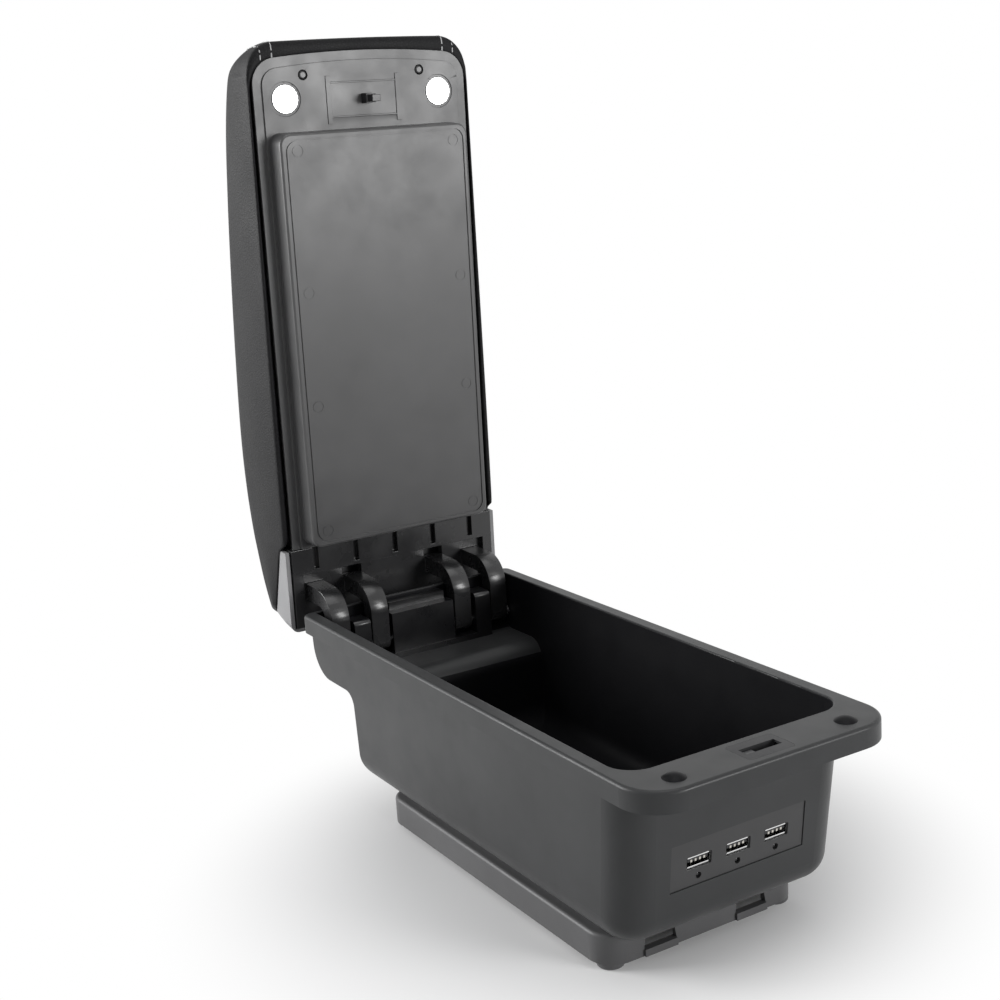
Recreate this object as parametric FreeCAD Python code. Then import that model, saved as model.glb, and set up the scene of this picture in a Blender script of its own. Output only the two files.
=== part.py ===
"""Armrest storage box for a car console: a moulded tub with a hinged padded lid and a row of USB sockets.

Millimetres. X runs across the box, -Y is the front with the sockets, +Z is up.
The origin is on the floor, under the middle of the base. The lid is drawn shut and turned open at the end.
"""
import FreeCAD, Part
import math
import os

V = FreeCAD.Vector

# Overall box
overall_height = 106.0
rim_length = 325.0
rim_width = 136.0
lid_open_deg = 88.0

# Base
base_length = 205.0
base_inset = 12.0
base_setback = 54.5
base_edge_height = 14.5
base_plateau = 2.5
base_wall = 2.6
base_corner_radius = 13.0
foot_height = 3.0
foot_radius = 6.5
foot_inset = 8.5
notch_width = 13.0
notch_taper = 2.5
notch_height = 11.0
notch_offset = 26.0
tongue_reach = 1.2
base_screw_x = 36.0
base_screw_y = 66.0

# Tub
wall = 3.0
rim_shelf = 8.0
opening_setback = 25.5
rear_flange = 3.5
side_draft_deg = 1.5
front_draft_deg = 7.4
tub_front_corner = 13.5
rear_spare = 30.0
tub_bottom_radius = 11.0
ledge_depth = 33.0
lower_wall_setback = 46.0
ledge_back_radius = 14.0
ledge_front_radius = 11.0
tub_heel_radius = 13.0

# Rim
flange_thickness = 3.0
skirt_height = 10.0
skirt_wall = 2.5
rim_front_radius = 20.0
rim_rear_radius = 5.0
rim_edge_radius = 1.8
opening_edge_radius = 1.0

# Hinge
hinge_setback = 11.5
hinge_lift = 10.5
pin_diameter = 4.0
pin_clearance = 0.06
pin_head_diameter = 7.5
pin_head_thickness = 1.4
arm_width = 11.0
arm_thickness = 9.4
arm_reach = 34.0
arm_neck_width = 9.4
arm_bend_radius = 7.0
arm_side_gap = 3.0
arm_pitch = 24.5
post_gap = 1.75
post_depth = 14.0
post_top = 16.5
post_edge = 2.5
block_gap = 1.5
block_front = 6.0
block_step = 7.0
block_front_top = 16.0
block_rear_top = 20.5
bracket_foot = 3.2
bracket_gap = 0.4

# Socket panel
panel_side_margin = 23.0
panel_height = 22.4
panel_inset = 0.5
panel_lip = 2.5
panel_clearance = 0.15
panel_drop = 51.5
port_side_margin = 15.5
port_width = 13.1
port_height = 5.7
port_wall = 0.35
port_depth = 14.0
port_recess = 0.8
port_clearance = 0.25
tongue_width = 11.0
tongue_thickness = 1.9
tongue_length = 9.0
led_diameter = 2.8
led_clearance = 0.3
led_drop = 7.2
led_recess = 0.6
board_thickness = 1.6
cover_wall = 1.8
cover_gap = 2.0
cable_hole = 8.0
cable_hole_drop = 24.0

# Latch
latch_setback = 13.0
latch_width = 25.0
latch_length = 17.0
latch_depth = 9.0
latch_wall = 1.6
latch_lip = 1.5
latch_corner = 2.0
slot_width = 19.0
slot_length = 5.6
catch_width = 4.4
catch_height = 4.0
catch_drop = 1.0
catch_travel = 1.6
hook_width = 6.0
hook_depth = 5.0
hook_body = 5.5
hook_reach = 11.0
hook_offset = 1.8
hook_nose = 0.8
hook_flange = 2.0

# Strike buttons on the rim and magnets in the lid
strike_side_margin = 21.6
strike_setback = 11.3
strike_diameter = 10.5
strike_stem = 4.0
strike_grip = 0.8
magnet_diameter = 14.6
magnet_thickness = 2.4
magnet_clearance = 0.2
magnet_ring = 1.7
mould_half_width = 21.0
mould_half_length = 12.5
mould_rib = 2.6
mould_rib_height = 0.5
mould_line_offset = 9.0
mould_line = 0.8
mould_line_height = 0.35

# Lid
lid_gap = 2.0
lid_front = 12.5
plate_margin = 4.0
plate_thickness = 2.6
plate_step = 1.0
plate_step_inset = 5.0
plate_front_radius = 14.0
plate_bow = 3.6
lid_rear_gap = 20.5
frame_length = 46.5
cover_panel_front_gap = 3.0
cover_panel_rear_gap = 2.0
cover_panel_margin = 2.6
cover_panel_rise = 12.0
cover_panel_draft = 0.6
cover_panel_wall = 2.0
cover_panel_edge = 1.2
cover_panel_corner = 6.0
cover_groove_inset = 2.6
cover_groove_width = 1.0
cover_groove_depth = 0.6
ejector_ring = 6.5
ejector_inset = 9.5
frame_overhang = 1.5
frame_height = 9.0
frame_band = 15.5
frame_recess = 4.0
frame_ear = 6.0
groove_pitch = 25.3
groove_width = 3.4
groove_depth = 3.0
groove_margin = 2.5
window_length = 22.0
window_side_gap = 0.6
shell_inset = 2.8
shell_wall = 2.2
shell_height = 17.0
shell_rear_gap = 8.5
cap_proud = 0.2
cap_wall = 2.4
cap_depth = 2.4
cap_corner = 5.0
cap_lean = 4.3
cap_front_height = 8.6
cap_rear_height = 21.0
cap_rise = 1.6
cap_rear_gap = 0.3
pad_overhang = 0.4
pad_front = 19.0
pad_front_radius = 19.0
pad_rear_radius = 8.0
pad_top_radius = 14.0
pad_lip_height = 11.0
pad_lip_tuck = 5.0
pad_gap = 0.3
pad_wrap = 1.2
lid_screw_inset = 11.2
lid_screw_setback = -0.7

# Screws
screw_shank = 2.8
screw_head = 5.0
screw_head_height = 1.8
screw_dome = 1.2
screw_length = 9.0

# Places that follow from the sizes above
rim_top = overall_height
rim_half_width = rim_width / 2
base_width = rim_width - 2 * base_inset
opening_half_width = rim_half_width - rim_shelf
panel_width = 2 * (opening_half_width - panel_side_margin)
port_pitch = panel_width / 2 - port_side_margin
outer_arm_x = opening_half_width - arm_side_gap - arm_width / 2
inner_arm_x = outer_arm_x - arm_pitch
post_x = outer_arm_x - arm_pitch / 2
post_width = arm_pitch - arm_width - 2 * post_gap
block_half_width = inner_arm_x - arm_width / 2 - block_gap
strike_x = rim_half_width - strike_side_margin
lid_screw_x = strike_x - lid_screw_inset
plate_half_width = rim_half_width - plate_margin
frame_half_width = plate_half_width + frame_overhang
cover_panel_half_width = opening_half_width - cover_panel_margin
pad_half_width = rim_half_width + pad_overhang
cap_half_width = pad_half_width + cap_proud
lid_end = rim_length - lid_rear_gap
plate_end = lid_end - frame_length
cover_panel_start = opening_setback + cover_panel_front_gap
cover_panel_end = plate_end - cover_panel_rear_gap
shell_end = lid_end - shell_rear_gap
cap_back = lid_end + cap_depth
pad_back = cap_back - cap_lean
rim_front = -base_length / 2 - base_setback
rim_rear = rim_front + rim_length
base_top = foot_height + base_edge_height
tub_floor = base_top + base_plateau
ledge_top = rim_top - ledge_depth
hinge_y = rim_rear - hinge_setback
hinge_z = ledge_top + hinge_lift
panel_centre_height = rim_top - panel_drop
cable_hole_height = ledge_top - cable_hole_drop
led_hole = led_diameter + led_clearance
lid_z = rim_top + lid_gap
side_slope = math.tan(math.radians(side_draft_deg))
front_slope = math.tan(math.radians(front_draft_deg))
rear_inner_y = rim_rear - rear_flange
lower_wall_y = rim_rear - lower_wall_setback
SIDES = {"left": -1, "right": 1}


def box(x0, x1, y0, y1, z0, z1):
    """A block between two corners."""
    return Part.makeBox(x1 - x0, y1 - y0, z1 - z0, V(x0, y0, z0))


def cylinder(radius, length, start, direction):
    """A round bar from a start point along a direction."""
    return Part.makeCylinder(radius, length, V(*start), V(*direction))


def fuse(shapes):
    """One solid from shapes that touch or overlap."""
    first = shapes[0]
    joined = first.fuse(shapes[1:]) if len(shapes) > 1 else first
    return joined.removeSplitter()


def rounded_rectangle(half_width, y0, y1, front_radius, rear_radius, z):
    """A closed wire in a level plane, with its own radius at the front and rear corners."""
    corners = [(-1, y0, front_radius, 180), (1, y0, front_radius, 270),
               (1, y1, rear_radius, 0), (-1, y1, rear_radius, 90)]
    edges = []
    ends = []
    for side, y, radius, start in corners:
        centre = V(side * (half_width - radius), y + (radius if y == y0 else -radius), z)
        arc = Part.ArcOfCircle(Part.Circle(centre, V(0, 0, 1), radius),
                               math.radians(start), math.radians(start + 90))
        edges.append(arc.toShape())
        ends.append((arc.StartPoint, arc.EndPoint))
    outline = []
    for index, edge in enumerate(edges):
        outline.append(edge)
        outline.append(Part.makeLine(ends[index][1], ends[(index + 1) % len(ends)][0]))
    return Part.Wire(Part.__sortEdges__(outline))


def prism(wire, height):
    """A wire in a level plane, raised by a height."""
    return Part.Face(wire).extrude(V(0, 0, height))


def side_profile(edges, half_width):
    """Edges in the YZ plane, closed to a face and drawn out evenly to both sides."""
    face = Part.Face(Part.Wire(Part.__sortEdges__(edges)))
    face.translate(V(-half_width, 0, 0))
    return face.extrude(V(2 * half_width, 0, 0))


def side_point(y, z):
    """A point of a profile in the YZ plane."""
    return V(0, y, z)


def side_line(start, end):
    """A straight edge of a profile in the YZ plane."""
    return Part.makeLine(side_point(*start), side_point(*end))


def side_arc(centre, radius, start_deg, end_deg):
    """An arc of a profile in the YZ plane, with angles from +Y towards +Z."""
    def at(angle):
        turn = math.radians(angle)
        return side_point(centre[0] + radius * math.cos(turn), centre[1] + radius * math.sin(turn))
    return Part.Arc(at(start_deg), at((start_deg + end_deg) / 2), at(end_deg)).toShape()


def side_polygon(points, half_width):
    """A block with straight-sided YZ outline, drawn out evenly to both sides."""
    edges = [side_line(points[i], points[(i + 1) % len(points)]) for i in range(len(points))]
    return side_profile(edges, half_width)


def edges_at_height(shape, z, tolerance=0.01):
    """The edges that lie wholly at one height."""
    return [e for e in shape.Edges
            if abs(e.BoundBox.ZMin - z) < tolerance and abs(e.BoundBox.ZMax - z) < tolerance]


def save(name, shape):
    """Writes one piece, checked to be sound."""
    if not shape.isValid():
        raise ValueError(name + " is not a valid solid")
    shape.exportStep("parts/" + name + ".step")


# Tub

def tub_form(grow):
    """The bowl of the tub as a solid: its inside when grow is 0, its outside when grow is the wall."""
    top = rim_top + 1.0 if grow == 0 else rim_top - flange_thickness / 2
    bottom = tub_floor + wall - grow

    def section(z):
        depth = rim_top - z
        return rounded_rectangle(opening_half_width - depth * side_slope + grow,
                                 rim_front + opening_setback + depth * front_slope - grow,
                                 rear_inner_y + rear_spare,
                                 tub_front_corner + grow, tub_front_corner + grow, z)

    form = Part.makeLoft([section(bottom), section(top)], True, True)
    form = form.makeFillet(tub_bottom_radius + grow, edges_at_height(form, bottom))
    return form.cut(heel_cutter(grow, bottom))


def heel_cutter(grow, bottom):
    """What is taken away below the hinge ledge and behind the lower rear wall."""
    low_y = lower_wall_y - wall + grow
    ledge = ledge_top - grow
    rear = rear_inner_y + grow
    concave = ledge_front_radius - grow
    convex = ledge_back_radius + grow
    heel = tub_heel_radius + grow
    far_y = rim_rear + 2 * rear_spare
    far_z = bottom - wall
    far_top = rim_top + wall
    edges = [
        side_line((far_y, far_z), (low_y - heel, far_z)),
        side_line((low_y - heel, far_z), (low_y - heel, bottom)),
        side_arc((low_y - heel, bottom + heel), heel, 270, 360),
        side_line((low_y, bottom + heel), (low_y, ledge - concave)),
        side_arc((low_y + concave, ledge - concave), concave, 180, 90),
        side_line((low_y + concave, ledge), (rear - convex, ledge)),
        side_arc((rear - convex, ledge + convex), convex, 270, 360),
        side_line((rear, ledge + convex), (rear, far_top)),
        side_line((rear, far_top), (far_y, far_top)),
        side_line((far_y, far_top), (far_y, far_z)),
    ]
    return side_profile(edges, rim_width)


def rim():
    """The flange round the opening with its turned-down skirt, hollow underneath."""
    bottom = rim_top - skirt_height
    outside = prism(rounded_rectangle(rim_width / 2, rim_front, rim_rear,
                                      rim_front_radius, rim_rear_radius, bottom), skirt_height)
    outside = outside.makeFillet(rim_edge_radius, edges_at_height(outside, rim_top))
    hollow = prism(rounded_rectangle(rim_width / 2 - skirt_wall, rim_front + skirt_wall, rim_rear - skirt_wall,
                                     rim_front_radius - skirt_wall, rim_rear_radius - skirt_wall, bottom - 1),
                   skirt_height + 1 - flange_thickness)
    return outside.cut(hollow)


def latch_box(grow, z0, z1):
    """The plan of the latch insert, grown by a clearance, between two heights."""
    y = rim_front + latch_setback
    wire = rounded_rectangle(latch_width / 2 + grow, y - latch_length / 2 - grow, y + latch_length / 2 + grow,
                             latch_corner + grow, latch_corner + grow, z0)
    return prism(wire, z1 - z0)


def base_screw_places():
    """Where the screws go up from the base into the floor of the tub."""
    return [(sx * base_screw_x, sy * base_screw_y) for sx in (-1, 1) for sy in (-1, 1)]


def bracket_screw_places():
    """Where the screws go up through the ledge into the hinge bracket."""
    return [(side * post_x, hinge_y) for side in SIDES.values()]


def storage_tub():
    """The one-piece moulded tub."""
    body = fuse([tub_form(wall), rim()]).cut(tub_form(0))
    body = body.makeFillet(opening_edge_radius, opening_edges(body))
    seat = latch_box(0.1, rim_top - flange_thickness - 1, rim_top + 1)
    holes = [seat]
    for side in SIDES.values():
        holes.append(cylinder(strike_stem / 2, flange_thickness + 2,
                              (side * strike_x, rim_front + strike_setback, rim_top - flange_thickness - 1),
                              (0, 0, 1)))
    for x, y in base_screw_places():
        holes.append(cylinder(screw_shank / 2, wall + 2, (x, y, tub_floor - 1), (0, 0, 1)))
    for x, y in bracket_screw_places():
        holes.append(cylinder(screw_shank / 2, 4 * wall, (x, y, ledge_top - wall - 1), (0, 0, 1)))
        holes.append(cylinder(screw_head / 2 + 0.3, screw_head_height + 1,
                              (x, y, ledge_top - wall), (0, 0, -1)))
    window = box(-panel_width / 2 - panel_clearance, panel_width / 2 + panel_clearance,
                 -panel_height / 2 - panel_clearance, panel_height / 2 + panel_clearance,
                 -wall * 2, wall * 2)
    holes.append(on_front_wall(window))
    holes.append(cylinder(cable_hole / 2, 3 * wall, (0, lower_wall_y - 2 * wall, cable_hole_height), (0, 1, 0)))
    return body.cut(holes)


def opening_edges(body):
    """The top edges round the mouth of the tub."""
    inside = opening_half_width + 0.5
    return [e for e in edges_at_height(body, rim_top)
            if e.BoundBox.XMax < inside and e.BoundBox.XMin > -inside
            and e.BoundBox.YMin > rim_front + opening_setback - 0.5]


# Socket panel, in a frame of its own on the sloping front wall

def on_front_wall(shape):
    """Moves a shape drawn with X across, Y up the wall and Z out of it to its place on the outer face."""
    moved = shape.copy()
    depth = rim_top - panel_centre_height
    wall_y = rim_front + opening_setback + depth * front_slope - wall / math.cos(math.radians(front_draft_deg))
    moved.rotate(V(0, 0, 0), V(1, 0, 0), 90 + front_draft_deg)
    moved.translate(V(0, wall_y, panel_centre_height))
    return moved


def port_tube(grow, z0, z1):
    """The rounded-oblong form of a socket shell, grown by a clearance."""
    block = box(-port_width / 2 - grow, port_width / 2 + grow,
                -port_height / 2 - grow, port_height / 2 + grow, z0, z1)
    upright = [e for e in block.Edges if e.BoundBox.ZLength > 1]
    return block.makeFillet(0.6 + grow if grow > -0.5 else 0.1, upright)


PANEL_FACE = -panel_inset
BOARD_FACE = PANEL_FACE - port_depth
PORT_PLACES = {"left": -port_pitch, "centre": 0.0, "right": port_pitch}


def usb_panel():
    """The inset plate with three socket windows and three lamp holes, held by a lip behind the wall."""
    plate = box(-panel_width / 2, panel_width / 2, -panel_height / 2, panel_height / 2, -wall, PANEL_FACE)
    lip = box(-panel_width / 2 - panel_lip, panel_width / 2 + panel_lip,
              -panel_height / 2 - panel_lip, panel_height / 2 + panel_lip, -wall - panel_lip, -wall)
    cuts = []
    for x in PORT_PLACES.values():
        opening = port_tube(port_clearance, -wall * 3, wall)
        opening.translate(V(x, 0, 0))
        cuts.append(opening)
        cuts.append(cylinder(led_hole / 2, wall * 4, (x, -led_drop, -wall * 3), (0, 0, 1)))
    return fuse([plate, lip]).cut(cuts)


def usb_shell(x):
    """A folded metal socket shell, open in front."""
    shell = port_tube(0, BOARD_FACE, PANEL_FACE - port_recess)
    shell = shell.cut(port_tube(-port_wall, BOARD_FACE + port_wall, wall))
    shell.translate(V(x, 0, 0))
    return shell


def usb_tongue(x):
    """The contact tongue with its block at the back of the socket."""
    inner_width = port_width - 2 * port_wall
    inner_height = port_height - 2 * port_wall
    back = BOARD_FACE + port_wall
    block_depth = port_depth - tongue_length - 1.6
    block = box(-inner_width / 2 + 0.4, inner_width / 2 - 0.4, -inner_height / 2 + 0.1, inner_height / 2 - 0.1,
                back, back + block_depth)
    top = inner_height / 2 - 0.7
    tongue = box(-tongue_width / 2, tongue_width / 2, top - tongue_thickness, top,
                 back + block_depth, back + block_depth + tongue_length)
    piece = fuse([block, tongue])
    piece.translate(V(x, 0, 0))
    return piece


def usb_led(x):
    """A small round lamp standing on the board behind its hole."""
    length = port_depth - led_recess - led_diameter / 2
    body = cylinder(led_diameter / 2, length, (x, -led_drop, BOARD_FACE), (0, 0, 1))
    dome = Part.makeSphere(led_diameter / 2, V(x, -led_drop, BOARD_FACE + length))
    return fuse([body, dome])


def usb_board():
    """The circuit board behind the sockets."""
    half_width = panel_width / 2 - 2
    return box(-half_width, half_width, -panel_height / 2, panel_height / 2,
               BOARD_FACE - board_thickness, BOARD_FACE)


def cover_half_width():
    """Half the inside width of the box behind the sockets."""
    return panel_width / 2 + panel_lip + cover_gap


def usb_cover():
    """The box inside the tub that closes off the sockets, with a screw tab at each end."""
    half_width = cover_half_width()
    half_height = panel_height / 2 + panel_lip + cover_gap
    back = BOARD_FACE - board_thickness - cover_gap
    outside = box(-half_width - cover_wall, half_width + cover_wall, -half_height - cover_wall,
                  half_height + cover_wall, back - cover_wall, -wall)
    upright = [e for e in outside.Edges if e.BoundBox.ZLength > 1]
    outside = outside.makeFillet(cover_wall, upright)
    inside = box(-half_width, half_width, -half_height, half_height, back, 0)
    rails = [box(x - 1, x + 1, -panel_height / 2, panel_height / 2, back, back + cover_gap)
             for x in (-panel_width / 4, panel_width / 4)]
    body = fuse([outside.cut(inside)] + rails)
    cable = cylinder(cable_hole / 2 - 1, half_height * 2, (0, 0, BOARD_FACE + cable_hole / 2), (0, -1, 0))
    return body.cut(cable)


# Latch in the front of the rim

def latch_insert():
    """The cup set into the rim with a slot for the lid's hook."""
    top = rim_top
    bottom = top - latch_depth
    y = rim_front + latch_setback
    cup = latch_box(0, bottom, top)
    reach = latch_width / 2 + latch_lip
    lip = box(-reach, reach, y - latch_length / 2, y + latch_length / 2,
              top - flange_thickness - latch_wall, top - flange_thickness)
    hollow = box(-latch_width / 2 + latch_wall, latch_width / 2 - latch_wall,
                 y - catch_width / 2 - 0.15, y + catch_width / 2 + 0.15, bottom - 1, top - catch_drop)
    slot = box(-slot_width / 2, slot_width / 2, y - slot_length / 2, y + slot_length / 2, bottom - 1, top + 1)
    return fuse([cup, lip]).cut([hollow, slot])


def catch_start():
    """The outer end of the sliding catch."""
    return -latch_width / 2 + latch_wall + catch_travel + 1.2


def latch_catch():
    """The sprung catch that slides across the slot, with a sloping nose."""
    y = rim_front + latch_setback
    x0 = catch_start()
    x1 = hook_offset - hook_width / 2 - 0.3
    top = rim_top - catch_drop - 0.2
    body = box(x0, x1, y - catch_width / 2, y + catch_width / 2, top - catch_height, top)
    nose = [e for e in body.Edges if abs(e.BoundBox.XMin - x1) < 0.01 and abs(e.BoundBox.XMax - x1) < 0.01
            and abs(e.BoundBox.ZMax - top) < 0.01 and e.BoundBox.ZLength < 0.01]
    return body.makeChamfer(catch_height * 0.45, nose)


# Strike buttons

def rim_strike(side):
    """A domed steel button pressed through the rim for a lid magnet to hold."""
    x = side * strike_x
    y = rim_front + strike_setback
    radius = strike_diameter / 2
    sphere_radius = (radius ** 2 + lid_gap ** 2) / (2 * lid_gap)
    ball = Part.makeSphere(sphere_radius, V(x, y, rim_top + lid_gap - sphere_radius))
    head = ball.common(cylinder(radius + 1, lid_gap, (x, y, rim_top), (0, 0, 1)))
    stem = cylinder(strike_stem / 2, flange_thickness, (x, y, rim_top - flange_thickness), (0, 0, 1))
    collar = cylinder(strike_stem / 2 + strike_grip, 1.0, (x, y, rim_top - flange_thickness - 1.0), (0, 0, 1))
    return fuse([head, stem, collar])


# Base

def base_plan(grow, z0, z1):
    """The rounded plan of the base, grown or shrunk, between two heights."""
    wire = rounded_rectangle(base_width / 2 + grow, -base_length / 2 - grow, base_length / 2 + grow,
                             base_corner_radius + grow, base_corner_radius + grow, z0)
    return prism(wire, z1 - z0)


def foot_places():
    """The middles of the four corner feet."""
    x = base_width / 2 - foot_inset
    y = base_length / 2 - foot_inset
    return [(sx * x, sy * y) for sx in (-1, 1) for sy in (-1, 1)]


def base_tray():
    """The hollow base with corner feet and two notched clips along its front."""
    bottom = foot_height
    rounded = base_plan(0, bottom, base_top)
    rounded = rounded.makeFillet(2.0, edges_at_height(rounded, base_top))
    plateau = base_plan(-6, base_top - 1, tub_floor)
    hollow = base_plan(-base_wall, bottom - 1, base_top - base_wall)
    body = fuse([rounded, plateau]).cut(hollow)
    front = -base_length / 2
    additions = []
    for x, y in foot_places():
        foot = cylinder(foot_radius, base_edge_height, (x, y, 0), (0, 0, 1))
        additions.append(foot.makeFillet(1.2, edges_at_height(foot, 0)))
    for x, y in base_screw_places():
        additions.append(cylinder(screw_head / 2 + 1.6, base_edge_height, (x, y, bottom), (0, 0, 1)))
    for side in SIDES.values():
        x = side * notch_offset
        additions.append(box(x - notch_width / 2 - notch_taper, x + notch_width / 2 + notch_taper,
                             front - tongue_reach, front + base_wall,
                             bottom, base_top - notch_height))
    body = fuse([body] + additions)
    cuts = []
    for side in SIDES.values():
        cuts.append(notch_cutter(side * notch_offset, front))
    for x, y in base_screw_places():
        cuts.append(cylinder(screw_shank / 2, tub_floor + 2, (x, y, -1), (0, 0, 1)))
        cuts.append(cylinder(screw_head / 2 + 0.2, bottom + screw_seat(), (x, y, 0), (0, 0, 1)))
    return body.cut(cuts)


def screw_seat():
    """How far a base screw's head sits up inside its boss."""
    return tub_floor + wall - screw_length - foot_height - 0.5


def notch_cutter(x, front):
    """A notch that widens downwards, cut through the front wall of the base."""
    z0 = base_top - notch_height
    z1 = base_top + base_plateau + 1
    low = notch_width / 2 + notch_taper
    high = notch_width / 2
    points = [V(x - low, 0, z0), V(x + low, 0, z0), V(x + high, 0, z1), V(x - high, 0, z1)]
    face = Part.Face(Part.makePolygon(points + points[:1]))
    face.translate(V(0, front - tongue_reach - 1, 0))
    return face.extrude(V(0, tongue_reach + 1 + base_wall + 6, 0))


def screw(place, axis, length=screw_length):
    """A pan-head screw: its place is under the head, its axis points down the shank."""
    x, y, z = place
    ax, ay, az = axis
    shank = cylinder(screw_shank / 2, length, (x, y, z), axis)
    head = cylinder(screw_head / 2, screw_head_height, (x, y, z), (-ax, -ay, -az))
    top = [e for e in head.Edges
           if e.isClosed() and (e.CenterOfMass - V(x, y, z)).Length > screw_head_height / 2]
    return fuse([shank, head.makeFillet(screw_dome, top)])


def base_screws():
    """The four screws that hold the tub to its base."""
    seat = foot_height + screw_seat()
    return Part.makeCompound([screw((x, y, seat), (0, 0, 1)) for x, y in base_screw_places()])


# Hinge

def hinge_bracket():
    """The bracket on the ledge: a foot plate, two posts with round tops and a stepped block between them."""
    z0 = ledge_top
    rear = rear_inner_y - bracket_gap
    half = post_x + post_width / 2
    front = hinge_y - post_depth / 2
    foot = box(-half, half, front, rear - ledge_back_radius / 2, z0, z0 + bracket_foot)
    pieces = [foot]
    top_z = hinge_z + post_top
    for side in SIDES.values():
        x0 = side * post_x - post_width / 2
        x1 = x0 + post_width
        post = box(x0, x1, front, front + post_depth, z0, top_z)
        across = [e for e in edges_at_height(post, top_z) if e.BoundBox.XLength > 1]
        pieces.append(post.makeFillet(post_edge, across))
    block_y = hinge_y - block_front
    pieces.append(box(-block_half_width, block_half_width, block_y, rear, z0 + ledge_back_radius,
                      hinge_z + block_front_top))
    pieces.append(box(-block_half_width, block_half_width, block_y, rear - ledge_back_radius / 2, z0,
                      hinge_z + block_front_top))
    pieces.append(box(-block_half_width + 2, block_half_width - 2, block_y + block_step, rear,
                      z0 + ledge_back_radius, hinge_z + block_rear_top))
    body = fuse(pieces)
    body = body.cut(ledge_back_corner())
    bores = pin_bores()
    for x, y in bracket_screw_places():
        bores.append(cylinder(screw_shank / 2, screw_length - wall + 0.5, (x, y, z0 - 0.5), (0, 0, 1)))
    return body.cut(bores)


def ledge_back_corner():
    """The rounded corner at the back of the ledge, grown by the bracket's gap."""
    radius = ledge_back_radius - bracket_gap
    rear = rear_inner_y - bracket_gap
    top = ledge_top + bracket_gap + radius
    corner = box(-rim_width, rim_width, rear - radius, rim_rear, ledge_top - 1, top)
    round_bar = cylinder(radius, rim_width * 2, (-rim_width, rear - radius, top), (1, 0, 0))
    return corner.cut(round_bar)


def pin_span():
    """The inner and outer ends of a hinge pin's shank."""
    return block_half_width - 8.0, outer_arm_x + arm_width / 2 + 0.3


def pin_bores():
    """The two blind holes in the bracket for the pins, one from each side."""
    inner, outer = pin_span()
    bores = []
    for side in SIDES.values():
        bores.append(cylinder(pin_diameter / 2, outer - inner, (side * inner, hinge_y, hinge_z), (side, 0, 0)))
    return bores


def hinge_pin(side):
    """A headed steel pin through an outer arm, a post, an inner arm and into the block."""
    inner, outer = pin_span()
    shank = cylinder(pin_diameter / 2, outer - inner, (side * inner, hinge_y, hinge_z), (side, 0, 0))
    head = cylinder(pin_head_diameter / 2, pin_head_thickness, (side * outer, hinge_y, hinge_z), (side, 0, 0))
    return fuse([shank, head])


def bracket_screws():
    """The two screws from under the ledge into the posts."""
    return Part.makeCompound([screw((x, y, ledge_top - wall), (0, 0, 1)) for x, y in bracket_screw_places()])


# Lid, drawn shut

def lid_y(setback):
    """A place along the lid, measured back from the front of the rim."""
    return rim_front + setback


def open_lid(shape):
    """Turns a piece of the lid about the hinge to where it stands open."""
    turned = shape.copy()
    turned.rotate(V(0, hinge_y, hinge_z), V(1, 0, 0), -lid_open_deg)
    return turned


def gooseneck(x):
    """One swan-necked arm from the lid down and back to the hinge pin, with its bore."""
    half = arm_thickness / 2
    root_z = lid_z + frame_recess + 1.0 - hinge_z
    outer = arm_reach
    neck = arm_reach - arm_neck_width
    bend = arm_bend_radius + arm_neck_width
    edges = [
        side_arc((0, 0), half, 90, -90),
        side_line((0, -half), (-outer + bend, -half)),
        side_arc((-outer + bend, -half + bend), bend, 270, 180),
        side_line((-outer, -half + bend), (-outer, root_z)),
        side_line((-outer, root_z), (-neck, root_z)),
        side_line((-neck, root_z), (-neck, half + arm_bend_radius)),
        side_arc((-neck + arm_bend_radius, half + arm_bend_radius), arm_bend_radius, 180, 270),
        side_line((-neck + arm_bend_radius, half), (0, half)),
    ]
    arm = side_profile(edges, arm_width / 2)
    arm.translate(V(x, hinge_y, hinge_z))
    return arm


def hinge_frame():
    """The hinge end of the lid: a grooved band, a recess with four arms and an ear at each side."""
    y0 = lid_y(plate_end)
    y1 = lid_y(lid_end)
    half = frame_half_width
    body = box(-half, half, y0 + 0.2, y1, lid_z, lid_z + frame_height)
    recess = box(-half + frame_ear, half - frame_ear, y0 + frame_band, y1 + 1, lid_z - 1, lid_z + frame_recess)
    cuts = [recess]
    for step in range(-2, 3):
        x = step * groove_pitch
        cuts.append(box(x - groove_width / 2, x + groove_width / 2, y0,
                        y0 + frame_band - groove_margin, lid_z - 1, lid_z + groove_depth))
    window_y = y0 + frame_band + 0.5
    for side in SIDES.values():
        x = side * inner_arm_x
        low = arm_width / 2 + window_side_gap
        cuts.append(box(x - low, x + low, window_y, hinge_y - arm_reach + 0.5,
                        lid_z - 1, lid_z + frame_height + 1))
    body = body.cut(cuts)
    arms = [gooseneck(side * x) for side in SIDES.values() for x in (inner_arm_x, outer_arm_x)]
    body = fuse([body] + arms)
    bore = cylinder(pin_diameter / 2 + pin_clearance, rim_width * 2, (-rim_width, hinge_y, hinge_z), (1, 0, 0))
    return body.cut(bore)


def plate_form(inset, z, height):
    """The lid's inner plate in plan, with a bowed front edge and round front corners, set in by an inset."""
    half = plate_half_width - inset
    front = lid_y(-lid_front) + inset
    back = lid_y(plate_end)
    bow_radius = (half ** 2 + plate_bow ** 2) / (2 * plate_bow)
    bow = cylinder(bow_radius, height, (0, front + bow_radius, z), (0, 0, 1))
    form = box(-half, half, front, back, z, z + height).common(bow)
    corners = [e for e in form.Edges if e.BoundBox.ZLength > height / 2 and e.BoundBox.YMax < back - 1]
    return form.makeFillet(plate_front_radius - inset, corners)


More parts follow.
